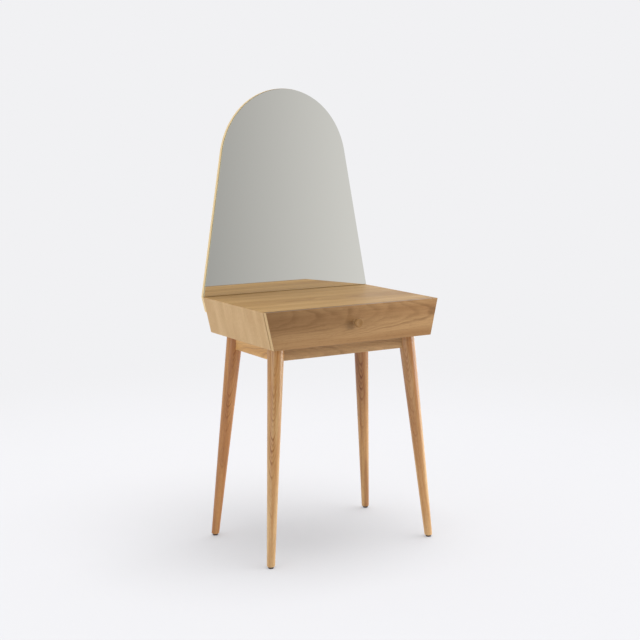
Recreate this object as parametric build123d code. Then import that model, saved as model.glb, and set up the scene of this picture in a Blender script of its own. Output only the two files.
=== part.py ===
from build123d import *
import math
import os

# Salon styling station: an oak dressing table with one drawer, four round splayed legs and an
# arched mirror on a thin wooden backboard that leans back a little behind the tabletop.
#
# Millimetres, X to the right, Y to the back, Z up. Pieces are worked out from the drawer
# front's face (Y = 0) and the floor (Z = 0), then moved so that the origin lies on the floor
# under the middle of the whole object. The right-hand one of a pair is at +X.

# ------------------------------------------------------------------ overall sizes
table_height = 760.0  # floor to tabletop
case_height = 112.0  # tabletop to the underside of the case
case_depth = 406.0  # drawer front's face to the tabletop's back edge
top_width = 600.0  # across the case at the tabletop
side_flare = 25.5  # how far each side stands out at the tabletop past its lower edge
mirror_rise = 640.0  # tabletop to the top of the arch, along the leaning board
mirror_lean = 1.6  # degrees back from upright

# ------------------------------------------------------------------ case boards
panel = 16.0  # veneered board of the case
front_thickness = 16.0  # drawer front
front_reveal = 2.5  # gap between the drawer front and the case's front edges
edge_ease = 1.0  # rounding of the outer edges

# ------------------------------------------------------------------ mirror
board_thickness = 12.0
board_lap = 48.0  # how far the backboard reaches below the tabletop
arch_half_width = 226.0  # half ellipse at the top: half its width
arch_height = 240.0  # and its height
glass_thickness = 3.0
glass_inset = 1.0  # glass edge inside the board's edge
glass_lift = 1.5  # glass above the tabletop
tape_thickness = 1.0
tape_width = 25.0
tape_length = 440.0
tape_count = 4
tape_half_span = 165.0  # middle of the outer strips
tape_lift = 20.0
mirror_screw_count = 5
mirror_screw_drop = 30.0  # below the tabletop, along the board
mirror_screw_inset = 55.0  # outer screws from the back panel's ends
mirror_screw_length = 24.0

# ------------------------------------------------------------------ legs and glides
foot_inset_side = 16.0  # foot's middle inside the tabletop's side edge
foot_inset_front = 16.0  # front feet's middles behind the drawer front's face
foot_inset_back = 23.0  # back feet's middles ahead of the tabletop's back edge
leg_splay = 54.0  # how far a foot stands out from the leg's top, in X and in Y
leg_top_diameter = 50.0
leg_foot_diameter = 24.0
leg_foot_chamfer = 2.0
glide_height = 5.0
glide_diameter = 16.0
glide_edge = 1.2
glide_stem_diameter = 6.0
glide_stem_length = 12.0

# ------------------------------------------------------------------ apron rails and corner blocks
rail_height = 44.0
rail_thickness = 18.0
rail_ease = 1.0  # rounding of the lower edges
rail_face_out = 7.0  # rail's outer face outside the leg's axis
tenon_thickness = 8.0
tenon_height = 28.0
tenon_tip = 12.0  # the tenon stops this far from the leg's axis
mortise_spare = 1.0  # mortise deeper than the tenon
block_height = 34.0
block_thickness = 26.0  # along the bolt
block_leg_gap = 0.8  # block to the leg's top
bolt_diameter = 6.0
bolt_past_axis = 4.0  # bolt's tip beyond the leg's axis
bolt_head_flats = 10.0
bolt_head_height = 4.0
frame_screw_offset = 12.0  # from the bolt, along the block
frame_screw_length = 46.0

# ------------------------------------------------------------------ drawer
drawer_wall = 12.0
drawer_lift = 7.0  # drawer box above the bottom panel
drawer_headroom = 12.0  # drawer box below the tabletop's underside
drawer_back_gap = 24.0  # drawer box ahead of the back panel
bottom_thickness = 4.0
bottom_rise = 8.0  # groove above the drawer box's lower edge
groove_depth = 5.0
groove_play = 0.3  # room at the drawer bottom's edges, inside the grooves
knob_drop = 50.0  # knob's middle below the tabletop
knob_diameter = 28.0
knob_reach = 24.0  # knob's face ahead of the drawer front
knob_base_diameter = 16.0
knob_neck_diameter = 12.0
knob_collar = 1.5  # straight foot of the knob against the drawer front
knob_neck_middle = 9.0  # narrowest place, ahead of the drawer front
knob_rim_band = 3.0  # straight part of the rim
knob_rim_round = 2.0
knob_face_ring = 3.0  # flat ring around the dished face
knob_dish_depth = 1.5
knob_screw_depth = 14.0  # screw inside the knob
front_screw_inset = 45.0  # from the drawer's inner side
front_screw_rows = (20.0, 46.0)  # above the drawer box's lower edge
front_screw_length = 24.0

# ------------------------------------------------------------------ runners
batten_thickness = 16.0
batten_play = 0.5  # batten's lower edge to the slanted side
batten_headroom = 20.0  # batten's top to the tabletop's underside
batten_end_gap = 1.5  # batten behind the case's front edge
batten_back_gap = 10.0  # batten ahead of the back panel
batten_screw_length = 36.0
batten_screw_inset = 40.0
batten_screw_count = 3
runner_gap = 12.5  # between batten and drawer side
runner_lift = 16.0  # runner above the bottom panel
runner_height = 22.0
runner_lip = 10.5  # how far the channel reaches from the batten
runner_front_gap = 2.0  # runner behind the case's front edge
runner_back_gap = 5.5  # runner's end ahead of the drawer back
steel = 1.2  # sheet of the runners
flange_drop = 3.0  # drawer member's flange below the channel's top
flange_start = 2.2  # flange's edge from the batten
roller_width = 6.0
roller_start = 2.6  # roller's outer side from the batten
roller_play = 0.2  # between a roller and what it runs on or beside
drawer_roller_headroom = 0.6  # between the drawer roller and the channel's upper flange
case_roller_room = 1.6  # between the case roller and the channel's floor
case_roller_inset = 12.0  # from the channel's front end
drawer_roller_inset = 14.0  # from the channel's back end
roller_overlap = 54.0  # between the roller axles with the drawer fully out
axle_diameter = 5.0
axle_clearance = 0.05  # on the radius
axle_head_diameter = 8.0
case_axle_head = 1.0
drawer_axle_head = 0.8
member_end = 7.0  # drawer member's end behind its roller's axle
flange_end_gap = 3.0  # flange's end ahead of that roller
stop_depth = 1.5
stop_length = 3.0
stop_width = 5.0
runner_screw_inset = 55.0  # from the channel's ends
runner_screw_count = 3

# ------------------------------------------------------------------ screws and dowels
wood_screw_radius = 2.0
wood_screw_head_radius = 4.0
wood_screw_head = 2.6
small_screw_radius = 1.75
small_screw_head_radius = 3.25
knob_screw_head_radius = 4.0
knob_screw_head = 2.2
front_screw_head_radius = 3.5
front_screw_head = 1.8
runner_screw_depth = 9.0
recess_width = 0.9  # cross recess in each screw's head
recess_length = 3.6
recess_depth = 1.0
drawer_dowel_radius = 3.0
drawer_dowel_length = 24.0
drawer_dowel_in_side = 8.0
drawer_dowel_rows = (24.0, 46.0)  # above the drawer box's lower edge
case_dowel_radius = 4.0
case_dowel_length = 30.0
case_dowel_in_side = 9.0
case_dowel_rows = (22.0, 44.0)  # above the bottom panel

# ------------------------------------------------------------------ worked out from the above
case_bottom = table_height - case_height
inner_bottom = case_bottom + panel
inner_top = table_height - panel
case_front = front_thickness + front_reveal
back_panel_front = case_depth - panel
bottom_width = top_width - 2 * side_flare
slant = side_flare / case_height  # outward run per millimetre of height
slant_wall = panel * math.hypot(1, slant)  # thickness of a slanted side, measured level

batten_outer = bottom_width / 2 + slant * panel - slant_wall - batten_play
batten_face = batten_outer - batten_thickness
drawer_half = batten_face - runner_gap
drawer_inner_half = drawer_half - drawer_wall
drawer_low = inner_bottom + drawer_lift
drawer_high = inner_top - drawer_headroom
drawer_box_front = front_thickness
drawer_box_back = back_panel_front - drawer_back_gap
runner_low = inner_bottom + runner_lift
runner_front = case_front + runner_front_gap
runner_back = drawer_box_back - runner_back_gap
case_axle_y = runner_front + case_roller_inset
drawer_axle_y = runner_back - drawer_roller_inset
drawer_travel = drawer_axle_y - case_axle_y - roller_overlap
flange_under = runner_low + runner_height - flange_drop - steel
case_roller_diameter = flange_under - runner_low - steel - roller_play - case_roller_room
drawer_roller_diameter = runner_height - 2 * steel - roller_play - drawer_roller_headroom
case_axle_z = flange_under - roller_play - case_roller_diameter / 2
drawer_axle_z = runner_low + steel + roller_play + drawer_roller_diameter / 2
knob_height = table_height - knob_drop
rail_middle = case_bottom - rail_height / 2

lean = math.radians(mirror_lean)
board_top_back = case_depth + mirror_rise * math.sin(lean) + board_thickness * math.cos(lean)
depth_middle = (board_top_back - knob_reach) / 2
to_origin = Pos(0, -depth_middle, 0)

# The mirror's own plane: X across, local Y up the board, local Z out of its front face.
mirror_plane = Plane(
    origin=(0, case_depth, table_height),
    x_dir=(1, 0, 0),
    z_dir=(0, -math.cos(lean), math.sin(lean)),
)

nodes = {}


# ------------------------------------------------------------------ helpers
def block(x, y, z):
    """Box between the low and high X, Y and Z given."""
    middle = Pos((x[0] + x[1]) / 2, (y[0] + y[1]) / 2, (z[0] + z[1]) / 2)
    return middle * Box(x[1] - x[0], y[1] - y[0], z[1] - z[0])


def prism(points, travel):
    """Closed polygon carried along the travel vector."""
    face = Face(Wire.make_polygon(points))
    if face.normal_at().dot(Vector(*travel)) < 0:
        face = -face
    return Part([Solid.extrude(face, Vector(*travel))])


def prism_y(outline, y_from, y_to):
    """Closed (X, Z) outline carried from one Y to the other."""
    return prism([(x, y_from, z) for x, z in outline], (0, y_to - y_from, 0))


def rod(radius, start, end):
    """Cylinder between two points."""
    axis = Vector(*end) - Vector(*start)
    bar = Cylinder(radius, axis.length, align=(Align.CENTER, Align.CENTER, Align.MIN))
    return Plane(origin=start, z_dir=axis) * bar


def spread(count, half_span):
    """Evenly spaced places from -half_span to +half_span."""
    return [half_span * (2 * n / (count - 1) - 1) for n in range(count)]


def between(low, high, count):
    """Evenly spaced places from low to high."""
    return [low + (high - low) * n / (count - 1) for n in range(count)]


def upright(radius, height, top_radius=None):
    """Cylinder, or cone, that stands on the XY plane."""
    stand = (Align.CENTER, Align.CENTER, Align.MIN)
    if top_radius is None:
        return Cylinder(radius, height, align=stand)
    return Cone(radius, top_radius, height, align=stand)


def cross_recess(depth_from):
    """Cross recess for a head whose outer face lies at this Z and looks down."""
    stand = (Align.CENTER, Align.CENTER, Align.MIN)
    bar = Box(recess_length, recess_width, recess_depth, align=stand)
    return Pos(0, 0, depth_from) * (bar + Rot(0, 0, 90) * bar)


def countersunk_screw(length):
    """Screw along +Z with its flat head flush at Z = 0: the plain body, and the body recessed."""
    body = upright(wood_screw_radius, length)
    body += upright(wood_screw_head_radius, wood_screw_head, wood_screw_radius)
    return body, body - cross_recess(0)


def pan_screw(radius, length, head_radius, head_height):
    """Screw along +Z whose head stands behind Z = 0: the plain body, and the body recessed."""
    body = upright(radius, length) + Pos(0, 0, -head_height) * upright(head_radius, head_height)
    return body, body - cross_recess(-head_height)


def flush_screw(depth):
    """Runner screw along +Z: its head fills the hole in the sheet, its shank the wood behind."""
    body = upright(small_screw_head_radius, steel) + upright(small_screw_radius, steel + depth)
    return body, body - cross_recess(0)


def drive(screw, places):
    """Copies of a screw at these planes: plain bodies that cut their holes, and the screws."""
    body, finished = screw
    return [place * body for place in places], [place * finished for place in places]


def aim(point, direction):
    """Plane at a point whose Z runs along the direction."""
    return Plane(origin=point, z_dir=direction)


def both_sides(shape):
    """The left-hand copy of a right-hand shape, and the shape itself."""
    return mirror(shape, about=Plane.YZ), shape


def group(shapes):
    """Separate solids kept together as one node."""
    return Compound([solid for shape in shapes for solid in shape.solids()])


def outer_half(z):
    """Half the width of the case's outside at this height."""
    return bottom_width / 2 + slant * (z - case_bottom)


def inner_half(z):
    """Half the width between the slanted sides' inner faces at this height."""
    return outer_half(z) - slant_wall


# ------------------------------------------------------------------ mirror outline
def arched_face(base, half_arch, rise):
    """Flat face: base points from left to right, straight sides that run up tangent to a half
    ellipse of the given half width and rise, whose centre lies where the arch begins."""
    centre = mirror_rise - arch_height
    half_base, base_height = base[-1]
    wide = half_base / half_arch
    deep = (centre - base_height) / rise
    touch = math.acos(1 / math.hypot(wide, deep)) - math.atan2(deep, wide)
    touch_x = half_arch * math.cos(touch)
    touch_y = centre + rise * math.sin(touch)
    angle = math.degrees(touch)
    arch = EllipticalCenterArc((0, centre), half_arch, rise, angle, arc_size=180 - 2 * angle)
    sides = Polyline((-touch_x, touch_y), *base, (touch_x, touch_y))
    return make_face([*sides.edges(), *arch.edges()])


lap_half = outer_half(table_height - board_lap * math.cos(lean))
board_base = [
    (-top_width / 2, 0),
    (-lap_half, -board_lap),
    (lap_half, -board_lap),
    (top_width / 2, 0),
]
side_run = (top_width / 2 - arch_half_width) / (mirror_rise - arch_height)
glass_half = top_width / 2 - glass_lift * side_run - glass_inset * math.hypot(1, side_run)
glass_base = [(-glass_half, glass_lift), (glass_half, glass_lift)]

board_blank = mirror_plane * extrude(
    arched_face(board_base, arch_half_width, arch_height), amount=-board_thickness
)
glass_face = arched_face(glass_base, arch_half_width - glass_inset, arch_height - glass_inset)
nodes["mirror_glass"] = mirror_plane * (
    Pos(0, 0, tape_thickness) * extrude(glass_face, amount=glass_thickness)
)
tape_strip = Box(tape_width, tape_length, tape_thickness, align=(Align.CENTER, Align.MIN, Align.MIN))
nodes["mirror_tape"] = group(
    mirror_plane * (Pos(x, tape_lift, 0) * tape_strip) for x in spread(tape_count, tape_half_span)
)

# Screws through the backboard from behind, into the back panel.
mirror_screw_half = inner_half(table_height - mirror_screw_drop) - mirror_screw_inset
mirror_screw_places = [
    mirror_plane * Pos(x, -mirror_screw_drop, -board_thickness)
    for x in spread(mirror_screw_count, mirror_screw_half)
]
mirror_holes, mirror_screws = drive(countersunk_screw(mirror_screw_length), mirror_screw_places)
nodes["mirror_backboard"] = board_blank - mirror_holes
nodes["mirror_screws"] = group(mirror_screws)

# ------------------------------------------------------------------ case
trapezoid = [
    (-bottom_width / 2, case_bottom),
    (bottom_width / 2, case_bottom),
    (top_width / 2, table_height),
    (-top_width / 2, table_height),
]
envelope = prism_y(trapezoid, case_front, case_depth)
envelope = fillet(envelope.edges().filter_by(Axis.Y), edge_ease)

low_corner = (inner_half(inner_bottom), inner_bottom)
high_corner = (inner_half(inner_top), inner_top)


def mirrored(point):
    """The same (X, Z) point on the other side of the middle."""
    return (-point[0], point[1])


# The four boards meet in mitres from their outer corners to their inner ones.
tabletop = prism_y(
    [mirrored(high_corner), high_corner, trapezoid[2], trapezoid[3]], case_front, case_depth
)
bottom_panel = prism_y(
    [trapezoid[0], trapezoid[1], low_corner, mirrored(low_corner)], case_front, case_depth
)
side_panel = prism_y(
    [trapezoid[1], trapezoid[2], high_corner, low_corner], case_front, case_depth
)
back_panel = prism_y(
    [mirrored(low_corner), low_corner, high_corner, mirrored(high_corner)],
    back_panel_front,
    case_depth,
)

# Dowels hold the back panel's ends in the slanted sides.
back_panel_middle = back_panel_front + panel / 2
case_dowels_right = []
for row in case_dowel_rows:
    z = inner_bottom + row
    tip = inner_half(z) + case_dowel_in_side
    case_dowels_right.append(
        rod(
            case_dowel_radius,
            (tip - case_dowel_length, back_panel_middle, z),
            (tip, back_panel_middle, z),
        )
    )
case_dowels = [dowel for right in case_dowels_right for dowel in both_sides(right)]
nodes["back_panel_dowels"] = group(case_dowels)

# ------------------------------------------------------------------ legs
foot_half = top_width / 2 - foot_inset_side
corners = {
    "front_left": (-1, foot_inset_front, 1),
    "front_right": (1, foot_inset_front, 1),
    "back_left": (-1, case_depth - foot_inset_back, -1),
    "back_right": (1, case_depth - foot_inset_back, -1),
}  # side of X, the foot's Y, and which way along Y the inside lies


def leg_point(corner, z):
    """Point on the leg's axis at this height."""
    side, foot_y, inward = corners[corner]
    drawn_in = leg_splay * z / case_bottom
    return (side * (foot_half - drawn_in), foot_y + inward * drawn_in, z)


def leg_radius(z):
    """Half the leg's thickness at this height."""
    foot_radius = leg_foot_diameter / 2
    return foot_radius + (leg_top_diameter / 2 - foot_radius) * z / case_bottom


def leg_blank(corner):
    """Straight round taper along the splayed axis, cut level at the glide and under the case."""
    spare = leg_foot_diameter / 2
    low, high = leg_point(corner, -spare), leg_point(corner, case_bottom + spare)
    axis = Vector(*high) - Vector(*low)
    cone = aim(low, axis) * upright(
        leg_radius(-spare), axis.length, leg_radius(case_bottom + spare)
    )
    reach = top_width + case_depth
    level = block((-reach, reach), (-reach, reach), (glide_height, case_bottom))
    leg = cone & level
    foot_edge = leg.edges().sort_by(Axis.Z)[0]
    return chamfer(foot_edge, leg_foot_chamfer)


leg_blanks = {corner: leg_blank(corner) for corner in corners}
joint_x, joint_front, _ = leg_point("front_right", rail_middle)
joint_back = leg_point("back_right", rail_middle)[1]
rail_face_in = rail_thickness - rail_face_out

# ------------------------------------------------------------------ apron rails
tenon_z = (rail_middle - tenon_height / 2, rail_middle + tenon_height / 2)
rail_z = (case_bottom - rail_height, case_bottom)
tenon_shift = (rail_face_in - rail_face_out) / 2  # rail's middle inside the legs' axes


def rail_bar(x, y, along):
    """Square bar between the legs' axes, with its two long lower edges rounded."""
    bar = block(x, y, rail_z)
    return fillet(bar.edges().filter_by(along).group_by(Axis.Z)[0], rail_ease)


def cross_rail(joint_y, inward):
    """Front or back rail, and the slot its tenons need in the legs."""
    faces = sorted((joint_y - inward * rail_face_out, joint_y + inward * rail_face_in))
    middle = joint_y + inward * tenon_shift
    thick = (middle - tenon_thickness / 2, middle + tenon_thickness / 2)
    half = joint_x - tenon_tip
    rail = rail_bar((-joint_x, joint_x), faces, Axis.X) - list(leg_blanks.values())
    rail += block((-half, half), thick, tenon_z)
    slot_half = half + mortise_spare
    return rail, block((-slot_half, slot_half), thick, tenon_z)


def side_rail():
    """Right-hand rail, and the slot its tenons need in the legs."""
    faces = (joint_x - rail_face_in, joint_x + rail_face_out)
    middle = joint_x - tenon_shift
    thick = (middle - tenon_thickness / 2, middle + tenon_thickness / 2)
    span = (joint_front + tenon_tip, joint_back - tenon_tip)
    rail = rail_bar(faces, (joint_front, joint_back), Axis.Y) - list(leg_blanks.values())
    rail += block(thick, span, tenon_z)
    return rail, block(thick, (span[0] - mortise_spare, span[1] + mortise_spare), tenon_z)


nodes["apron_rail_front"], front_slot = cross_rail(joint_front, 1)
nodes["apron_rail_back"], back_slot = cross_rail(joint_back, -1)
rail_right, slot_right = side_rail()
nodes["apron_rail_left"], nodes["apron_rail_right"] = both_sides(rail_right)
mortises = [front_slot, back_slot, *both_sides(slot_right)]

# ------------------------------------------------------------------ corner blocks and their bolts
diagonal = math.sqrt(2)
leg_drift = leg_splay * (case_bottom - rail_middle) / case_bottom  # leg's top inside its joint
block_near = leg_radius(case_bottom) + diagonal * leg_drift + block_leg_gap  # along the diagonal
block_far = block_near + block_thickness
block_low = case_bottom - block_height
bolt_head_radius = bolt_head_flats / math.sqrt(3)


def corner_spot(corner, a, b, z):
    """Point a millimetres in along X and b along Y from the leg's axis at the rails."""
    side, _, inward = corners[corner]
    joint_y = joint_front if inward > 0 else joint_back
    return (side * (joint_x - a), joint_y + inward * b, z)


leg_bolts, frame_holes, frame_screws = [], [], []
frame_screw = countersunk_screw(frame_screw_length)
for corner, (side, _, inward) in corners.items():
    near = block_near * diagonal - rail_face_in
    far = block_far * diagonal - rail_face_in
    outline = [
        corner_spot(corner, a, b, block_low)
        for a, b in (
            (near, rail_face_in),
            (far, rail_face_in),
            (rail_face_in, far),
            (rail_face_in, near),
        )
    ]
    corner_block = prism(outline, (0, 0, block_height))

    to_leg = (side, -inward, 0)
    seat = corner_spot(corner, block_far / diagonal, block_far / diagonal, rail_middle)
    bolt = aim(seat, to_leg) * (
        upright(bolt_diameter / 2, block_far + bolt_past_axis)
        + Pos(0, 0, -bolt_head_height)
        * extrude(RegularPolygon(bolt_head_radius, 6), amount=bolt_head_height)
    )
    leg_bolts.append(bolt)

    middle = (block_near + block_far) / 2 / diagonal
    step = frame_screw_offset / diagonal
    spots = [
        aim(corner_spot(corner, middle + shift, middle - shift, block_low), (0, 0, 1))
        for shift in (step, -step)
    ]
    holes, screws = drive(frame_screw, spots)
    frame_holes += holes
    frame_screws += screws
    nodes[f"corner_block_{corner}"] = corner_block - [bolt, *holes]

    foot = leg_point(corner, glide_height)
    pad = upright(glide_diameter / 2, glide_height)
    pad = fillet(pad.edges().sort_by(Axis.Z)[0], glide_edge)
    stem = upright(glide_stem_diameter / 2, glide_height + glide_stem_length)
    glide = Pos(foot[0], foot[1], 0) * (pad + stem)
    nodes[f"foot_glide_{corner}"] = glide
    nodes[f"leg_{corner}"] = leg_blanks[corner] - [*mortises, bolt, glide]

nodes["leg_bolts"] = group(leg_bolts)
nodes["frame_screws"] = group(frame_screws)

# ------------------------------------------------------------------ runner battens
batten_y = (case_front + batten_end_gap, back_panel_front - batten_back_gap)
batten_middle = (batten_face + batten_outer) / 2
batten = block(
    (batten_face, batten_outer), batten_y, (inner_bottom, inner_top - batten_headroom)
)
batten_screw_rows = between(
    batten_y[0] + batten_screw_inset, batten_y[1] - batten_screw_inset, batten_screw_count
)
batten_holes, batten_screws = drive(
    countersunk_screw(batten_screw_length),
    [
        aim((side * batten_middle, y, case_bottom), (0, 0, 1))
        for side in (-1, 1)
        for y in batten_screw_rows
    ],
)
nodes["batten_screws"] = group(batten_screws)

# ------------------------------------------------------------------ runners, right-hand side
def from_batten(u):
    """X at u millimetres from the right-hand batten towards the drawer."""
    return batten_face - u


def across(u_from, u_to):
    """Low and high X of a stretch that lies this far from the batten."""
    return (from_batten(u_to), from_batten(u_from))


runner_top = runner_low + runner_height
runner_y = (runner_front, runner_back)
channel = block(across(0, steel), runner_y, (runner_low, runner_top))
channel += block(across(0, runner_lip), runner_y, (runner_low, runner_low + steel))
channel += block(across(0, runner_lip), runner_y, (runner_top - steel, runner_top))

# The roller's front meets this bent-down stop when the drawer is fully out.
stop_under = runner_top - steel - stop_depth
stop_above_axle = stop_under - drawer_axle_z
stop_ahead = math.sqrt((drawer_roller_diameter / 2) ** 2 - stop_above_axle**2)
stop_back = drawer_axle_y - drawer_travel - stop_ahead - roller_play
roller_middle = roller_start + roller_width / 2
channel += block(
    across(roller_middle - stop_width / 2, roller_middle + stop_width / 2),
    (stop_back - stop_length, stop_back),
    (stop_under, runner_top - steel),
)

flange_top = flange_under + steel
drawer_member = block(
    across(runner_gap - steel, runner_gap),
    (drawer_box_front + runner_front_gap, drawer_axle_y + member_end),
    (runner_low + flange_drop, flange_top),
)
drawer_member += block(
    across(flange_start, runner_gap),
    (
        drawer_box_front + runner_front_gap,
        drawer_axle_y - drawer_roller_diameter / 2 - flange_end_gap,
    ),
    (flange_under, flange_top),
)


def axle(y, z, foot_u, neck_u, head_u):
    """Riveted axle from its foot to the neck of its head, with the head on to head_u."""
    shank = rod(
        axle_diameter / 2, (from_batten(foot_u), y, z), (from_batten(neck_u), y, z)
    )
    head = rod(
        axle_head_diameter / 2, (from_batten(neck_u), y, z), (from_batten(head_u), y, z)
    )
    return shank + head


def roller(y, z, diameter):
    """Nylon wheel with a small running clearance on its axle."""
    ends = [(from_batten(u), y, z) for u in (roller_start, roller_start + roller_width)]
    wheel = rod(diameter / 2, *ends)
    return wheel - rod(axle_diameter / 2 + axle_clearance, *ends)


roller_end = roller_start + roller_width
case_axle = axle(
    case_axle_y, case_axle_z, 0, roller_end + roller_play, roller_end + roller_play + case_axle_head
)
drawer_axle = axle(
    drawer_axle_y,
    drawer_axle_z,
    runner_gap,
    roller_start - roller_play,
    roller_start - roller_play - drawer_axle_head,
)
case_roller = roller(case_axle_y, case_axle_z, case_roller_diameter)
drawer_roller = roller(drawer_axle_y, drawer_axle_z, drawer_roller_diameter)

runner_middle_z = runner_low + runner_height / 2
runner_screw_rows = between(
    runner_front + runner_screw_inset, runner_back - runner_screw_inset, runner_screw_count
)
runner_screw = flush_screw(runner_screw_depth)
case_runner_holes, case_runner_screws = drive(
    runner_screw,
    [aim((from_batten(steel), y, runner_middle_z), (1, 0, 0)) for y in runner_screw_rows],
)
drawer_runner_holes, drawer_runner_screws = drive(
    runner_screw,
    [
        aim((from_batten(runner_gap - steel), y, runner_middle_z), (-1, 0, 0))
        for y in runner_screw_rows
    ],
)

pairs = {
    "runner_case_member": channel - [case_axle, *case_runner_holes],
    "runner_drawer_member": drawer_member - [drawer_axle, *drawer_runner_holes],
    "case_roller": case_roller,
    "drawer_roller": drawer_roller,
}
for name, right in pairs.items():
    nodes[f"{name}_left"], nodes[f"{name}_right"] = both_sides(right)
nodes["case_roller_axles"] = group(both_sides(case_axle))
nodes["drawer_roller_axles"] = group(both_sides(drawer_axle))
nodes["runner_case_screws"] = group(
    shape for screw in case_runner_screws for shape in both_sides(screw)
)
nodes["runner_drawer_screws"] = group(
    shape for screw in drawer_runner_screws for shape in both_sides(screw)
)

# ------------------------------------------------------------------ finished case pieces
batten -= [*batten_holes, *case_runner_holes]
nodes["runner_batten_left"], nodes["runner_batten_right"] = both_sides(batten)

# The mirror board is let into the back edges by its lean, so it seats flat and stands on a ledge.
nodes["tabletop"] = (tabletop & envelope) - board_blank
nodes["bottom_panel"] = (bottom_panel & envelope) - [*frame_holes, *batten_holes]
nodes["back_panel"] = back_panel - [board_blank, *case_dowels, *mirror_holes]
side_panel = (side_panel & envelope) - [board_blank, *case_dowels_right]
nodes["side_panel_left"], nodes["side_panel_right"] = both_sides(side_panel)

# ------------------------------------------------------------------ drawer
drawer_side = block(
    (drawer_inner_half, drawer_half), (drawer_box_front, drawer_box_back), (drawer_low, drawer_high)
)
box_front = block(
    (-drawer_inner_half, drawer_inner_half),
    (drawer_box_front, drawer_box_front + drawer_wall),
    (drawer_low, drawer_high),
)
box_back = block(
    (-drawer_inner_half, drawer_inner_half),
    (drawer_box_back - drawer_wall, drawer_box_back),
    (drawer_low, drawer_high),
)


def drawer_bottom_board(edge):
    """The thin bottom, reaching this far into the walls."""
    half = drawer_inner_half + edge
    return block(
        (-half, half),
        (drawer_box_front + drawer_wall - edge, drawer_box_back - drawer_wall + edge),
        (drawer_low + bottom_rise, drawer_low + bottom_rise + bottom_thickness),
    )


nodes["drawer_bottom"] = drawer_bottom_board(groove_depth - groove_play)
groove = drawer_bottom_board(groove_depth)

drawer_dowels_right = []
for y in (drawer_box_front + drawer_wall / 2, drawer_box_back - drawer_wall / 2):
    for row in drawer_dowel_rows:
        tip = drawer_inner_half + drawer_dowel_in_side
        z = drawer_low + row
        drawer_dowels_right.append(
            rod(drawer_dowel_radius, (tip - drawer_dowel_length, y, z), (tip, y, z))
        )
drawer_dowels = [dowel for right in drawer_dowels_right for dowel in both_sides(right)]
nodes["drawer_dowels"] = group(drawer_dowels)

# Screws from inside the drawer, forward through its box front.
screw_seat = drawer_box_front + drawer_wall
front_screw_x = drawer_inner_half - front_screw_inset
front_holes, front_screws = drive(
    pan_screw(
        small_screw_radius, front_screw_length, front_screw_head_radius, front_screw_head
    ),
    [
        aim((side * front_screw_x, screw_seat, drawer_low + row), (0, -1, 0))
        for side in (-1, 1)
        for row in front_screw_rows
    ],
)
nodes["drawer_front_screws"] = group(front_screws)
knob_holes, knob_screws = drive(
    pan_screw(
        wood_screw_radius,
        screw_seat + knob_screw_depth,
        knob_screw_head_radius,
        knob_screw_head,
    ),
    [aim((0, screw_seat, knob_height), (0, -1, 0))],
)
nodes["knob_screw"] = group(knob_screws)

nodes["drawer_side_left"], nodes["drawer_side_right"] = both_sides(
    drawer_side - [groove, *drawer_dowels_right, *drawer_runner_holes]
)
nodes["drawer_box_front"] = box_front - [groove, *drawer_dowels, *front_holes, *knob_holes]
nodes["drawer_back"] = box_back - [groove, *drawer_dowels]

drawer_front = prism_y(trapezoid, 0, front_thickness)
drawer_front = fillet(drawer_front.edges(), edge_ease)
nodes["drawer_front"] = drawer_front - [*front_holes, *knob_holes]


def knob():
    """Turned knob: collar, hollowed neck, rounded rim and a shallow dished face."""
    base, neck, rim = knob_base_diameter / 2, knob_neck_diameter / 2, knob_diameter / 2
    face_y = -knob_reach
    rim_y = face_y + knob_rim_round
    flare_y = rim_y + knob_rim_band
    face_radius = rim - knob_rim_round
    dish_radius = face_radius - knob_face_ring
    dish_sphere = (dish_radius**2 + knob_dish_depth**2) / (2 * knob_dish_depth)
    half_turn = math.asin(dish_radius / dish_sphere) / 2
    dish_middle = (
        dish_sphere * math.sin(half_turn),
        face_y + knob_dish_depth - dish_sphere * (1 - math.cos(half_turn)),
    )
    profile = [
        Polyline((0, 0), (base, 0), (base, -knob_collar)),
        ThreePointArc((base, -knob_collar), (neck, -knob_neck_middle), (rim, flare_y)),
        Line((rim, flare_y), (rim, rim_y)),
        CenterArc((face_radius, rim_y), knob_rim_round, 0, -90),
        Line((face_radius, face_y), (dish_radius, face_y)),
        ThreePointArc((dish_radius, face_y), dish_middle, (0, face_y + knob_dish_depth)),
        Line((0, face_y + knob_dish_depth), (0, 0)),
    ]
    face = make_face([edge for piece in profile for edge in piece.edges()])
    return Pos(0, 0, knob_height) * revolve(face, Axis.Y)


nodes["knob"] = knob() - knob_holes

# ------------------------------------------------------------------ write the pieces
os.makedirs("parts", exist_ok=True)
for name, shape in nodes.items():
    export_step(to_origin * shape, f"parts/{name}.step")
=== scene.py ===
import math

import bpy
from mathutils import Matrix, Vector


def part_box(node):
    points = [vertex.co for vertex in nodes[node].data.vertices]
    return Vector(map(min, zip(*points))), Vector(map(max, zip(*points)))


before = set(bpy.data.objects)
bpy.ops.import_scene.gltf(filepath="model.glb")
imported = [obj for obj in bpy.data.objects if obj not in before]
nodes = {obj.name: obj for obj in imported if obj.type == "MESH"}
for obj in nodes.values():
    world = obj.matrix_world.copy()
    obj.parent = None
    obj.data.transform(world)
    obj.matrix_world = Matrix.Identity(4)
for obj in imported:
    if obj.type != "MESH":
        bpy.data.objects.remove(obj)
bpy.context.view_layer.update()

# Salon styling station: the looks of an oak dressing table with an arched, leaning mirror.
# Metres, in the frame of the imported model: X to the right, Y to the back, Z up.
# Names that end in mm hold millimetres.

MM = 0.001
X, Y, Z = Vector((1, 0, 0)), Vector((0, 1, 0)), Vector((0, 0, 1))
CORNERS = ("front_left", "front_right", "back_left", "back_right")
SIDES = ("left", "right")
STEP = {"interpolation_type": "SMOOTHSTEP"}


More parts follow.
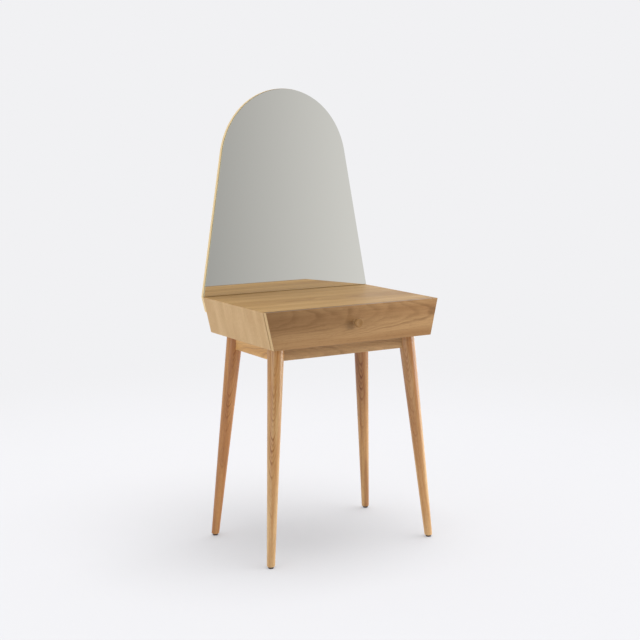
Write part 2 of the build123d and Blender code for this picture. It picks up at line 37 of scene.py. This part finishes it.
# ------------------------------------------------------------------ small helpers
def linear(hex_colour):
    """sRGB hex colour as linear red, green and blue, with alpha 1."""
    parts = [int(hex_colour[i : i + 2], 16) / 255 for i in (1, 3, 5)]
    return (*((c / 12.92) if c <= 0.04045 else ((c + 0.055) / 1.055) ** 2.4 for c in parts), 1.0)


def add(tree, kind, inputs=(), out=0, **settings):
    """Adds a node, sets its settings, and links or fills its inputs, given in order or by key.
    None leaves an input alone. Returns the chosen output, if the node has any."""
    node = tree.nodes.new(kind)
    for name, value in settings.items():
        setattr(node, name, value)
    for key, value in inputs.items() if isinstance(inputs, dict) else enumerate(inputs):
        if isinstance(value, bpy.types.NodeSocket):
            tree.links.new(value, node.inputs[key])
        elif value is not None:
            node.inputs[key].default_value = value
    return node.outputs[out] if node.outputs else None


def middle(node):
    """Middle of a node's box."""
    low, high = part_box(node)
    return (low + high) / 2


def finish_of(name, surface):
    """New material whose Principled shader gets what surface(tree) returns, by socket name."""
    material = bpy.data.materials.new(name)
    material.use_nodes = True
    tree = material.node_tree
    shader = tree.nodes["Principled BSDF"]
    for socket, value in surface(tree).items():
        if isinstance(value, bpy.types.NodeSocket):
            tree.links.new(value, shader.inputs[socket])
        else:
            shader.inputs[socket].default_value = value
    return material


def coat_with(material, *names):
    """Puts a material in every slot of these nodes."""
    for name in names:
        for slot in range(len(nodes[name].data.materials)):
            nodes[name].data.materials[slot] = material


def laid_over(tree, colour, *coats):
    """A colour with each coat, given as how much of it and its colour, laid over it in turn."""
    for amount, coat in coats:
        mix = {0: amount, 6: colour, 7: coat}
        colour = add(tree, "ShaderNodeMix", mix, out=2, data_type="RGBA")
    return colour


# ------------------------------------------------------------------ grain of sawn timber
# Lengths along the grain and widths across it, and how far the fine bends sway.
SLOW_BEND_MM = (320, 120)
FINE_BEND_MM = (45, 14)
FIGURE_PATCH_MM = (180, 22)
FIBRE_MM = (70, 1.8)
VESSEL_MM = (14, 0.9)  # real vessels are 0.2 mm wide; these are drawn coarser, so that they show
FINE_SWAY_MM = 1.6
BAND_LENGTH = 20  # times a tone band's width
PORE_DEPTH_MM = 0.15

# A year's ring, from 0 to 1: where its early wood is darkest, and where late wood has taken over.
EARLY_WOOD_PEAK, EARLY_WOOD_END = 0.22, 0.9
WEAKEST_RING = 0.15  # strength of the faintest ring beside the boldest one
CALM_STARTS = 0.4  # share of the way to calm_mm where the figure starts to calm down
CALM_FIGURE = 0.12  # what is left of the figure from calm_mm on

FAINTEST_PATCH = 0.2  # of the figure's full depth
FIBRE_DEPTH = 0.22  # how far the fibres go towards the dark of early wood
LACQUER_SPREAD = (-0.05, 0.08)  # added to its roughness, from between the fibres to over them
STRIP_TURN = (0.65, 0.9)  # how squarely a face looks a strip's way before the strip covers it


def place_in_log(tree, along, across, centre, seed):
    """Place inside the log: first number along the grain, second across the piece's face and
    third into its depth, in metres from the piece's middle."""
    turn = Matrix((along, across, along.cross(across)))
    shift = -(turn @ centre) + Vector((seed, 0, 0))
    place = add(tree, "ShaderNodeTexCoord", out="Object")
    return add(tree, "ShaderNodeMapping", (place, shift, turn.to_euler("XYZ")))


def per_metre(length_mm, width_mm):
    """How many lengths along the grain, and widths across it and in depth, make a metre."""
    return (1 / (length_mm * MM), 1 / (width_mm * MM), 1 / (width_mm * MM))


def streaks(tree, place, length_mm, width_mm, detail=2.0, roughness=0.5, low=0.3, high=0.7):
    """Noise drawn out along the grain, from 0 to 1: streaks of about this length and width."""
    scaled = (place, per_metre(length_mm, width_mm))
    scaled = add(tree, "ShaderNodeVectorMath", scaled, operation="MULTIPLY")
    noise = {"Vector": scaled, "Scale": 1.0, "Detail": detail, "Roughness": roughness}
    noise = add(tree, "ShaderNodeTexNoise", noise)
    return add(tree, "ShaderNodeMapRange", (noise, low, high, 0.0, 1.0), **STEP)


def wandering(tree, place, length_mm, width_mm, sway_mm):
    """The place, moved across and in depth by slow noise of about this length and width."""
    scaled = (place, per_metre(length_mm, width_mm))
    scaled = add(tree, "ShaderNodeVectorMath", scaled, operation="MULTIPLY")
    noise = {"Vector": scaled, "Scale": 1.0, "Detail": 2.0}
    noise = add(tree, "ShaderNodeTexNoise", noise, out="Color")
    centred = add(tree, "ShaderNodeVectorMath", (noise, (0.5, 0.5, 0.5)), operation="SUBTRACT")
    sway = (0.0, 2 * sway_mm * MM, 2 * sway_mm * MM)
    return add(tree, "ShaderNodeVectorMath", (centred, sway, place), operation="MULTIPLY_ADD")


def growth_rings(tree, place, heart_mm, lean, ring_mm, wander_mm, calm_mm, seed):
    """Early wood of each year's ring, from 0 to 1, and the distance from the heart of the log.
    The rings are rounds about the heart, which lies heart_mm across and below the piece, leans
    against it, and wanders. Each ring starts dark, fades into pale late wood, and has its own
    strength. The figure calms down calm_mm across from the heart."""
    swayed = wandering(tree, place, *SLOW_BEND_MM, wander_mm)
    swayed = wandering(tree, swayed, *FINE_BEND_MM, FINE_SWAY_MM)
    # The heart's lean is a shear: across and depth gain a share of the place along.
    span = add(tree, "ShaderNodeVectorMath", (place, (1, 0, 0)), out="Value", operation="DOT_PRODUCT")
    shear = add(tree, "ShaderNodeCombineXYZ", (0.0, lean[0], lean[1]))
    leaning = add(tree, "ShaderNodeVectorMath", {0: shear, "Scale": span}, operation="SCALE")
    # The piece's middle lies at the seed's place along the log.
    heart = (0.0, *(side * MM - slope * seed for side, slope in zip(heart_mm, lean)))
    radial = add(tree, "ShaderNodeVectorMath", (swayed, leaning), operation="ADD")
    radial = add(tree, "ShaderNodeVectorMath", (radial, heart), operation="ADD")
    radial = add(tree, "ShaderNodeVectorMath", (radial, (0, 1, 1)), operation="MULTIPLY")
    radius = add(tree, "ShaderNodeVectorMath", (radial,), out="Value", operation="LENGTH")
    years = add(tree, "ShaderNodeMath", (radius, 1 / (ring_mm * MM)), operation="MULTIPLY")
    year = add(tree, "ShaderNodeMath", (years,), operation="FLOOR")
    season = add(tree, "ShaderNodeMath", (years,), operation="FRACT")
    starts = add(tree, "ShaderNodeMapRange", (season, 0.0, EARLY_WOOD_PEAK, 0.0, 1.0), **STEP)
    fades = (season, EARLY_WOOD_PEAK, EARLY_WOOD_END, 1.0, 0.0)
    fades = add(tree, "ShaderNodeMapRange", fades, **STEP)
    strength = add(tree, "ShaderNodeTexWhiteNoise", {"W": year}, noise_dimensions="1D")
    strength = (strength, 0.1, 0.95, WEAKEST_RING, 1.0)
    strength = add(tree, "ShaderNodeMapRange", strength, **STEP)
    early = add(tree, "ShaderNodeMath", (starts, fades), operation="MULTIPLY")
    early = add(tree, "ShaderNodeMath", (early, strength), operation="MULTIPLY")
    off_heart = add(tree, "ShaderNodeSeparateXYZ", (radial,), out=1)
    off_heart = add(tree, "ShaderNodeMath", (off_heart,), operation="ABSOLUTE")
    calm = (off_heart, CALM_STARTS * calm_mm * MM, calm_mm * MM, 1.0, CALM_FIGURE)
    calm = add(tree, "ShaderNodeMapRange", calm, **STEP)
    return add(tree, "ShaderNodeMath", (early, calm), operation="MULTIPLY"), radius


def timber(name, colours, along, across, centre, heart_mm, lean=(0.02, 0.05), ring_mm=4.5,
           wander_mm=16, figure=0.5, pores=0.35, seed=0.0, lacquer=0.4, gloss=0.3, calm_mm=400,
           band_mm=45, heartwood_and_shade=None, strip=None):
    """Sawn wood: rings cut by the piece's own faces, broad tone bands, fibres and pores.
    colours are pale wood, warm wood and early wood. figure and pores are how dark the rings and
    the pores get. ring_mm is a year's width, wander_mm how far the heart strays, calm_mm where
    the figure has calmed down, and band_mm how wide the tone bands are. seed is the piece's place
    along its log, in metres. lacquer is the finish's roughness, and gloss its strength.
    heartwood_and_shade is how far from the heart, in millimetres, the dark colour starts to fade and
    where it ends, and how dark it is; on some pieces it is painted shade. strip is the colour of
    glued edge strips and the directions that they face, as 1 for each such axis and 0 for the others."""
    pale, warm, dark = (linear(c) for c in colours)

    def surface(tree):
        place = place_in_log(tree, along, across, centre, seed)
        rings, radius = growth_rings(tree, place, heart_mm, lean, ring_mm, wander_mm, calm_mm, seed)
        tone = streaks(tree, place, BAND_LENGTH * band_mm, band_mm, detail=3.0, low=0.32, high=0.68)
        depth = streaks(tree, place, *FIGURE_PATCH_MM)
        depth = add(tree, "ShaderNodeMapRange", (depth, 0.0, 1.0, FAINTEST_PATCH * figure, figure))
        ringed = add(tree, "ShaderNodeMath", (rings, depth), operation="MULTIPLY")
        fibre = streaks(tree, place, *FIBRE_MM, detail=3.0, roughness=0.6, low=0.35, high=0.75)
        vessel = streaks(tree, place, *VESSEL_MM, detail=1.0, low=0.56, high=0.72)
        pored = add(tree, "ShaderNodeMath", (vessel, pores), operation="MULTIPLY")
        fibred = add(tree, "ShaderNodeMath", (fibre, FIBRE_DEPTH), operation="MULTIPLY")
        colour = laid_over(tree, pale, (tone, warm))
        # Dark colour near the heart of the log: on some pieces the wood's own, on others painted
        # shade.
        if heartwood_and_shade is not None:
            near, far, share = heartwood_and_shade
            heart = (radius, near * MM, far * MM, share, 0.0)
            heart = add(tree, "ShaderNodeMapRange", heart, **STEP)
            colour = laid_over(tree, colour, (heart, dark))
        colour = laid_over(tree, colour, (ringed, dark), (fibred, dark), (pored, dark))
        if strip is not None:
            strip_colour, facing = strip
            face = add(tree, "ShaderNodeNewGeometry", out="Normal")
            face = add(tree, "ShaderNodeVectorMath", (face, facing), operation="MULTIPLY")
            edge = add(tree, "ShaderNodeVectorMath", (face,), out="Value", operation="LENGTH")
            edge = add(tree, "ShaderNodeMapRange", (edge, *STRIP_TURN), **STEP)
            glued = laid_over(tree, linear(strip_colour), (fibred, dark))
            colour = laid_over(tree, colour, (edge, glued))
        rough = (fibre, 0.0, 1.0, *(lacquer + spread for spread in LACQUER_SPREAD))
        relief = add(tree, "ShaderNodeMath", (fibre, pored), operation="SUBTRACT")
        bump = {"Height": relief, "Strength": 0.25, "Distance": PORE_DEPTH_MM * MM}
        return {
            "Base Color": colour,
            "Roughness": add(tree, "ShaderNodeMapRange", rough),
            "Normal": add(tree, "ShaderNodeBump", bump),
            "IOR": 1.5,
            "Specular IOR Level": gloss,
        }

    return finish_of(name, surface)


# ------------------------------------------------------------------ case, drawer and frame timber
# Pale wood, warm wood and early wood of each board, leg and rail.
TOP_VENEER = ("#CEA76E", "#BB9259", "#8C6236")
FRONT_VENEER = ("#AE895E", "#966F47", "#603E1E")
SIDE_VENEER = ("#CEAC7B", "#C19C6A", "#9A7442")
MIRROR_BOARD_VENEER = ("#DEBC88", "#CDA673", "#9A7442")
LEG_OAK = {
    "front_left": ("#DBB580", "#C28F57", "#87501F"),
    "front_right": ("#E0B983", "#C4915A", "#81481F"),
    "back_left": ("#C58E55", "#AA7342", "#824C20"),
    "back_right": ("#D2A56D", "#A87646", "#6E3A1C"),
}
# How dark each leg gets near the heart of its log, from 0 to 1: partly the oak's own darker heart,
# and partly painted shade, set strongest on the right legs, which the case shades from above.
LEG_HEART_AND_SHADE = {"front_left": 0.15, "front_right": 0.45, "back_left": 0.0, "back_right": 0.5}
FACE_RAIL_OAK = ("#C49F73", "#B08A5E", "#5F3F24")  # front and back
END_RAIL_OAK = ("#E2B87B", "#CF9F61", "#8E6034")  # left and right
KNOB_OAK = ("#9F7C52", "#926E44", "#7D572F")
BEECH = ("#D9B993", "#CDA77E", "#B58A60")
BIRCH = ("#DCC7A0", "#D2B98E", "#B99A6C")
# Pale strips glued to the edges of the case's boards and of the mirror's board.
LIPPING = "#CDAC79"
MIRROR_BOARD_EDGE = "#EACF9B"
LEG_LEAN = 1 / 12  # how far a leg leans in for its height, both across and from front to back


def board_finishes():
    """Veneered boards, some with pale strips glued to their edges."""
    # Crown-cut veneer shows the rings as broad arches. Its lacquer is dull on the tabletop and
    # satin on the darker drawer front.
    # The dark colour near the heart makes the tabletop darker towards its right end.
    coat_with(
        timber("oak_crown_veneer_top", TOP_VENEER, X, Y, middle("tabletop"), heart_mm=(30, 120),
               lean=(0.04, -0.05), ring_mm=7, wander_mm=20, figure=0.5, pores=0.25, seed=1.7,
               lacquer=0.45, gloss=0.12, calm_mm=260, heartwood_and_shade=(100, 150, 0.5)),
        "tabletop",
    )
    # On the drawer front the dark colour near the heart is painted shade: darker to the left and
    # paler to the right, as light from the right would make it.
    coat_with(
        timber("oak_crown_veneer_front", FRONT_VENEER, X, Z, middle("drawer_front"),
               heart_mm=(-34, 110), lean=(0.05, 0.06), ring_mm=3.6, wander_mm=11, figure=0.58,
               pores=0.3, seed=4.4, gloss=0.25, calm_mm=90, heartwood_and_shade=(92, 140, 0.62),
               strip=(LIPPING, (1, 0, 0))),
        "drawer_front",
    )
    # Rift-cut veneer comes from far off the heart, and shows the rings as calm straight lines.
    for side, seed in zip(SIDES, (7.3, 9.1)):
        node = f"side_panel_{side}"
        coat_with(
            timber(f"oak_rift_veneer_side_{side}", SIDE_VENEER, Z, Y, middle(node),
                   heart_mm=(260, 30), lean=(0, 0.02), ring_mm=6, wander_mm=5, figure=0.35,
                   pores=0.25, seed=seed, strip=(LIPPING, (0, 1, 0))),
            node,
        )
    coat_with(
        timber("oak_rift_veneer_board", SIDE_VENEER, X, Y, middle("bottom_panel"),
               heart_mm=(240, 40), lean=(0.02, 0), ring_mm=7, wander_mm=14, figure=0.35,
               pores=0.25, seed=11.9),
        "bottom_panel", "back_panel",
    )
    # The mirror's board is veneered upright in paler oak, with a light strip round its edge.
    coat_with(
        timber("oak_veneer_mirror_board", MIRROR_BOARD_VENEER, Z, X, middle("mirror_backboard"),
               heart_mm=(40, 80), lean=(0.03, 0.04), ring_mm=8, wander_mm=18, figure=0.45,
               pores=0.25, seed=13.2, strip=(MIRROR_BOARD_EDGE, (1, 0, 1))),
        "mirror_backboard",
    )


def leg_axis(corner):
    """Unit vector up a leg, which leans in towards the table's middle."""
    foot = middle(f"foot_glide_{corner}")
    lean = (-math.copysign(LEG_LEAN, side) for side in (foot.x, foot.y))
    return Vector((*lean, 1)).normalized()


def frame_finishes():
    """Solid oak legs turned from crown-cut blanks, the rails between them, and the turned knob."""
    # Turning cuts through the rings, so bold dark arches run up each leg under glossy lacquer.
    for n, corner in enumerate(CORNERS):
        axis = leg_axis(corner)
        across = (X - axis * axis.dot(X)).normalized()
        # Part of each leg's darkening near the heart is painted shade, strongest on the right legs.
        coat_with(
            timber(f"turned_oak_leg_{corner}", LEG_OAK[corner], axis, across,
                   middle(f"leg_{corner}"), heart_mm=(44, 54), lean=(-0.08, -0.09), ring_mm=2.6,
                   wander_mm=5, figure=1.0, seed=2.3 * n + 0.4, lacquer=0.26, gloss=0.45,
                   calm_mm=56, band_mm=14, heartwood_and_shade=(35, 85, LEG_HEART_AND_SHADE[corner])),
            f"leg_{corner}",
        )
    # The rails are sawn close to the heart, which gives them short, strongly marked arches.
    for side, oak, along, heart_mm, seed in (
        ("front", FACE_RAIL_OAK, X, (30, 70), 5.0),
        ("back", FACE_RAIL_OAK, X, (30, 70), 6.0),
        ("left", END_RAIL_OAK, Y, (24, 60), 8.0),
        ("right", END_RAIL_OAK, Y, (24, 60), 9.0),
    ):
        node = f"apron_rail_{side}"
        coat_with(
            timber(f"sawn_oak_rail_{side}", oak, along, Z, middle(node), heart_mm=heart_mm,
                   lean=(0.05, 0.05), ring_mm=3.2, wander_mm=7, figure=0.7, seed=seed, band_mm=20),
            node,
        )
    # The knob's small face is turned from calm wood, so that it looks almost plain.
    coat_with(
        timber("turned_oak_knob", KNOB_OAK, Z, X, middle("knob"), heart_mm=(20, 40),
               lean=(0.05, 0.05), ring_mm=3.5, wander_mm=4, figure=0.15, seed=3.0, band_mm=30),
        "knob",
    )


def hidden_timber():
    """Bare beech and birch inside the case and the frame: pale, plain and matt."""
    bare = 0.55  # roughness of wood without lacquer
    beech = {"heart_mm": (20, 60), "lacquer": bare}
    birch = {"heart_mm": (90, 60), "figure": 0.3, "lacquer": bare}

    for corner in CORNERS:
        node = f"corner_block_{corner}"
        coat_with(timber(f"planed_beech_block_{corner}", BEECH, X, Y, middle(node), **beech), node)
    for side in SIDES:
        node = f"runner_batten_{side}"
        coat_with(timber(f"planed_beech_batten_{side}", BEECH, Y, Z, middle(node), **beech), node)
        node = f"drawer_side_{side}"
        sanded = timber(f"sanded_birch_drawer_side_{side}", BIRCH, Y, Z, middle(node), **birch)
        coat_with(sanded, node)
    for node in ("drawer_back", "drawer_box_front"):
        coat_with(timber(f"sanded_birch_{node}", BIRCH, X, Z, middle(node), **birch), node)
    # Plywood's face is peeled round the log, so its rings are wide and wander far.
    coat_with(
        timber("birch_ply_drawer_bottom", BIRCH, X, Y, middle("drawer_bottom"), heart_mm=(20, 300),
               lean=(0, 0.01), ring_mm=12, wander_mm=30, figure=0.3, lacquer=bare),
        "drawer_bottom",
    )
    dowels = timber("turned_beech_dowels", BEECH, X, Y, Vector(), **beech)
    coat_with(dowels, "drawer_dowels", "back_panel_dowels")


# ------------------------------------------------------------------ glass, metal and plastics
GLASS_THICKNESS_MM = 3
GLASS_EDGE = "#B9BBA0"
SILVERING = "#F6F5EE"
POLISHED_EDGE = 0.12  # roughness
FRONT_TURN = (0.5, 0.9)  # how squarely a face looks the mirror's way before the silver shows


def mirror_normal():
    """Unit vector out of the mirror's front, from the lean of the glass's box."""
    low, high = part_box("mirror_glass")
    lean = math.atan2(high.y - low.y - GLASS_THICKNESS_MM * MM, high.z - low.z)
    return Vector((0, -math.cos(lean), math.sin(lean)))


def silvered_glass():
    """Silvered float glass: a clean neutral reflection, and polished edges with glass's faint
    green."""

    def surface(tree):
        face = add(tree, "ShaderNodeNewGeometry", out="Normal")
        facing = (face, mirror_normal())
        facing = add(tree, "ShaderNodeVectorMath", facing, out="Value", operation="DOT_PRODUCT")
        front = add(tree, "ShaderNodeMapRange", (facing, *FRONT_TURN), **STEP)
        place = add(tree, "ShaderNodeTexCoord", out="Object")
        # Float glass has about nine waves to a metre, so flat that they barely show.
        wave = add(tree, "ShaderNodeTexNoise", {"Vector": place, "Scale": 9.0, "Detail": 1.0})
        bump = add(tree, "ShaderNodeBump", {"Height": wave, "Strength": 0.02, "Distance": 0.02 * MM})
        return {
            "Base Color": laid_over(tree, linear(GLASS_EDGE), (front, linear(SILVERING))),
            "Metallic": front,
            "Roughness": add(tree, "ShaderNodeMapRange", (front, 0.0, 1.0, POLISHED_EDGE, 0.0)),
            "Normal": bump,
        }

    return finish_of("silvered_float_glass", surface)


CLOUD_SIZE = 25  # times the grain's size
ROUGHNESS_SPREAD = 0.06  # either way, from grain to grain
GRAIN_RELIEF_MM = 0.02


def grained(name, colour, other, grain_mm, roughness, metallic=0.0):
    """Even finish with a fine grain of this size: moulded, coated or plated surfaces."""

    def surface(tree):
        place = add(tree, "ShaderNodeTexCoord", out="Object")
        grain = {"Vector": place, "Scale": 1 / (grain_mm * MM), "Detail": 3.0}
        grain = add(tree, "ShaderNodeTexNoise", grain)
        cloud = {"Vector": place, "Scale": 1 / (CLOUD_SIZE * grain_mm * MM), "Detail": 2.0}
        cloud = add(tree, "ShaderNodeTexNoise", cloud)
        cloud = add(tree, "ShaderNodeMapRange", (cloud, 0.3, 0.7))
        bump = {"Height": grain, "Strength": 0.3, "Distance": GRAIN_RELIEF_MM * MM}
        rough = (grain, 0.2, 0.8, roughness - ROUGHNESS_SPREAD, roughness + ROUGHNESS_SPREAD)
        return {
            "Base Color": laid_over(tree, linear(colour), (cloud, linear(other))),
            "Roughness": add(tree, "ShaderNodeMapRange", rough),
            "Metallic": metallic,
            "Normal": add(tree, "ShaderNodeBump", bump),
        }

    return finish_of(name, surface)


def fitting_finishes():
    """Glass, tape, glides, runners, rollers and screws."""
    coat_with(silvered_glass(), "mirror_glass")
    # Closed-cell foam is matt, with cells of half a millimetre.
    coat_with(grained("foam_tape", "#E9E7E2", "#DEDCD6", 0.5, 0.8), "mirror_tape")
    # Moulded nylon has a soft sheen over a fine spark-eroded texture.
    glides = [f"foot_glide_{corner}" for corner in CORNERS]
    coat_with(grained("moulded_nylon_glide", "#2C1E18", "#221712", 0.4, 0.5), *glides)
    # Baked epoxy powder is smooth and white, with a faint orange peel.
    members = [f"runner_{kind}_member_{side}" for kind in ("case", "drawer") for side in SIDES]
    coat_with(grained("epoxy_coated_steel", "#E6E5E1", "#DDDCD7", 0.6, 0.35), *members)
    rollers = [f"{kind}_roller_{side}" for kind in ("case", "drawer") for side in SIDES]
    coat_with(grained("moulded_nylon_roller", "#F0EFEA", "#E8E7E1", 0.4, 0.4), *rollers)
    # Zinc plating is a plain grey metal, faintly clouded.
    coat_with(
        grained("zinc_plated_steel", "#C9C9C4", "#B4B6B4", 0.15, 0.3, metallic=1.0),
        "mirror_screws", "batten_screws", "frame_screws", "leg_bolts", "runner_case_screws",
        "runner_drawer_screws", "drawer_front_screws", "knob_screw", "case_roller_axles",
        "drawer_roller_axles",
    )


board_finishes()
frame_finishes()
hidden_timber()
fitting_finishes()


# ------------------------------------------------------------------ studio
BACKDROP = "#F1F1F3"
FLOOR_REACH = 3.2  # from the middle to each side
FLOOR_FADE = (1.2, FLOOR_REACH - 0.1)  # how far from the middle the fade starts and ends
FLOOR_PAINT = (0.30, 0.30, 0.309, 1)  # linear


def studio_floor():
    """Pale matt floor, which fades into the backdrop at its rim."""
    mesh = bpy.data.meshes.new("studio_floor")
    corners = [(x * FLOOR_REACH, y * FLOOR_REACH, 0) for x, y in ((-1, -1), (1, -1), (1, 1), (-1, 1))]
    mesh.from_pydata(corners, [], [(0, 1, 2, 3)])
    floor = bpy.data.objects.new("studio_floor", mesh)
    bpy.context.scene.collection.objects.link(floor)
    material = bpy.data.materials.new("matt_white_floor")
    material.use_nodes = True
    tree = material.node_tree
    tree.nodes.clear()
    place = add(tree, "ShaderNodeTexCoord", out="Object")
    distance = add(tree, "ShaderNodeVectorMath", (place,), out="Value", operation="LENGTH")
    fade = add(tree, "ShaderNodeMapRange", (distance, *FLOOR_FADE), **STEP)
    matt = add(tree, "ShaderNodeBsdfDiffuse", {"Color": FLOOR_PAINT})
    far_off = add(tree, "ShaderNodeEmission", {"Color": linear(BACKDROP)})
    # In the mirror the floor fades into the room instead.
    in_mirror = add(tree, "ShaderNodeLightPath", out="Is Singular Ray")
    clear = add(tree, "ShaderNodeBsdfTransparent")
    far_off = add(tree, "ShaderNodeMixShader", (in_mirror, far_off, clear))
    blend = add(tree, "ShaderNodeMixShader", (fade, matt, far_off))
    add(tree, "ShaderNodeOutputMaterial", {"Surface": blend})
    mesh.materials.append(material)
    return floor


# Brightness of the studio by how far to the right the direction points, from -1 to 1.
STUDIO_SIDES = (
    (-1.0, 3.0), (-0.87, 2.3), (-0.75, 0.4), (-0.6, 0.2), (0.1, 0.2), (0.40, 0.29), (0.449, 0.418),
    (0.537, 0.657), (0.7, 1.0), (1.0, 1.4),
)
BRIGHTEST = 3.0
WALL_STARTS = (-0.35, 0.25)  # by how far to the back the direction points
WALL = (0.4, 0.9, 0.7, 2.4)  # the wall is brighter to the right: from and to where, and how bright
OVERHEAD_WAY = (0, 0.4, 0.92)  # the soft light overhead hangs a little behind the object
OVERHEAD_STARTS = (0.2, 0.8)  # by how nearly the direction points that way
OVERHEAD = (1.1, 1.1, 1.1, 1)
BRIGHTEST_IN_MIRROR = (0.92, 0.92, 0.92)


def studio_world():
    """Soft studio round the object: dim in front, bright to the sides, above and behind. Only the
    camera sees the plain backdrop."""
    world = bpy.data.worlds.new("studio")
    bpy.context.scene.world = world
    world.use_nodes = True
    tree = world.node_tree
    tree.nodes.clear()
    way = add(tree, "ShaderNodeTexCoord", out="Generated")
    right, back, _ = add(tree, "ShaderNodeSeparateXYZ", (way,)).node.outputs
    turn = add(tree, "ShaderNodeMapRange", (right, -1.0, 1.0))
    sides = add(tree, "ShaderNodeValToRGB", (turn,))
    ramp = sides.node.color_ramp
    while len(ramp.elements) < len(STUDIO_SIDES):
        ramp.elements.new(0.5)
    for element, (place, level) in zip(ramp.elements, STUDIO_SIDES):
        element.position = (place + 1) / 2
        element.color = (*(level / BRIGHTEST,) * 3, 1)
    bright = add(tree, "ShaderNodeVectorMath", {0: sides, "Scale": BRIGHTEST}, operation="SCALE")
    behind = add(tree, "ShaderNodeMapRange", (back, *WALL_STARTS), **STEP)
    over = (way, OVERHEAD_WAY)
    over = add(tree, "ShaderNodeVectorMath", over, out="Value", operation="DOT_PRODUCT")
    above = add(tree, "ShaderNodeMapRange", (over, *OVERHEAD_STARTS), **STEP)
    wall = add(tree, "ShaderNodeMapRange", (right, *WALL), **STEP)
    seen = add(tree, "ShaderNodeLightPath", out="Is Camera Ray")
    colour = laid_over(tree, bright, (behind, wall), (above, OVERHEAD), (seen, linear(BACKDROP)))
    # The mirror shows the bright studio as pale, not burnt out.
    mirrored = (colour, BRIGHTEST_IN_MIRROR)
    mirrored = add(tree, "ShaderNodeVectorMath", mirrored, operation="MINIMUM")
    in_mirror = add(tree, "ShaderNodeLightPath", out="Is Singular Ray")
    colour = laid_over(tree, colour, (in_mirror, mirrored))
    backdrop = add(tree, "ShaderNodeBackground", (colour, 1.0))
    add(tree, "ShaderNodeOutputWorld", {"Surface": backdrop})


def lit_only(name, pieces):
    """Collection of the pieces that a light is kept to."""
    group = bpy.data.collections.new(name)
    for piece in pieces:
        group.objects.link(piece)
    return group


def studio_light(name, kind, place, aim, receivers, reflected=True, **settings):
    """Light at a place, aimed at a point, that lights only the given pieces. One that isn't
    reflected gives diffuse light alone, and leaves no bright patch on lacquered faces."""
    lamp = bpy.data.lights.new(name, kind)
    for setting, value in settings.items():
        setattr(lamp, setting, value)
    light = bpy.data.objects.new(name, lamp)
    light.location = place
    light.rotation_euler = (Vector(aim) - Vector(place)).to_track_quat("-Z", "Y").to_euler()
    bpy.context.scene.collection.objects.link(light)
    light.light_linking.receiver_collection = receivers
    light.visible_glossy = reflected


FLOOR_MIDDLE = (0, 0, 0)
LEGS_MIDDLE = (0, 0, 0.4)
FLOOR_SUN = (0.45, -0.2, 3)  # direction that the floor's light comes from


def studio_lights(floor):
    """Area lights on the object, in watts, and suns on the floor under it. Only the studio round
    it lights the mirror's glass."""
    all_but_glass = [piece for name, piece in nodes.items() if name != "mirror_glass"]
    on_timber_and_fittings = lit_only("all_but_glass", all_but_glass)
    on_front = lit_only("front_and_knob", [nodes["drawer_front"], nodes["knob"]])
    on_legs = lit_only("legs_only", [nodes[f"leg_{corner}"] for corner in CORNERS])
    on_floor = lit_only("floor_only", [floor])
    # The key lights at the front right model the case, the knob and the legs.
    studio_light("key_front", "AREA", (1.0, -1.75, 1.3), (0.1, -0.2, 0.6), on_timber_and_fittings,
                 reflected=False, shape="SQUARE", size=0.5, energy=11)
    studio_light("key_drawer", "AREA", (1.4, -1.4, 1.1), (0.1, -0.2, 0.7), on_front,
                 reflected=False, shape="SQUARE", size=0.6, energy=9)
    # A long low strip at the right edges the legs and the case with light.
    studio_light("rim_right", "AREA", (2.4, 0.1, 0.4), LEGS_MIDDLE, on_timber_and_fittings,
                 reflected=False, shape="RECTANGLE", size=3.0, size_y=0.6, energy=26)
    # The legs' lacquer mirrors this one, as a pale streak down their right sides.
    studio_light("leg_highlight", "AREA", (2.1, -1.3, 0.4), LEGS_MIDDLE, on_legs,
                 shape="RECTANGLE", size=1.2, size_y=0.9, energy=13)
    # A wide sun draws the soft shadow, and a shadowless one keeps it pale.
    studio_light("floor_wash", "SUN", FLOOR_SUN, FLOOR_MIDDLE, on_floor, energy=3.55,
                 angle=math.radians(52))
    studio_light("floor_fill", "SUN", FLOOR_SUN, FLOOR_MIDDLE, on_floor, energy=3.05,
                 use_shadow=False)


LENS_MM, SENSOR_MM = 72.794, 36.0
CAMERA_RIGHT, CAMERA_AHEAD, CAMERA_UP = -2.0304, 3.1892, 1.2944  # ahead of the drawer front
YAW, PITCH, ROLL = (math.radians(a) for a in (30.904, -8.693, -0.274))


def studio_camera():
    """Stands to the left of the front, above the tabletop, with a fairly long lens."""
    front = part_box("drawer_front")[0].y
    camera = bpy.data.objects.new("camera", bpy.data.cameras.new("camera"))
    camera.data.lens, camera.data.sensor_width = LENS_MM, SENSOR_MM
    turn = Matrix.Rotation(-YAW, 4, "Z") @ Matrix.Rotation(math.pi / 2 + PITCH, 4, "X")
    turn @= Matrix.Rotation(ROLL, 4, "Z")
    place = Matrix.Translation((CAMERA_RIGHT, front - CAMERA_AHEAD, CAMERA_UP))
    camera.matrix_world = place @ turn
    bpy.context.scene.collection.objects.link(camera)
    bpy.context.scene.camera = camera


floor = studio_floor()
studio_world()
studio_lights(floor)
studio_camera()
bpy.context.scene.view_settings.view_transform = "Standard"
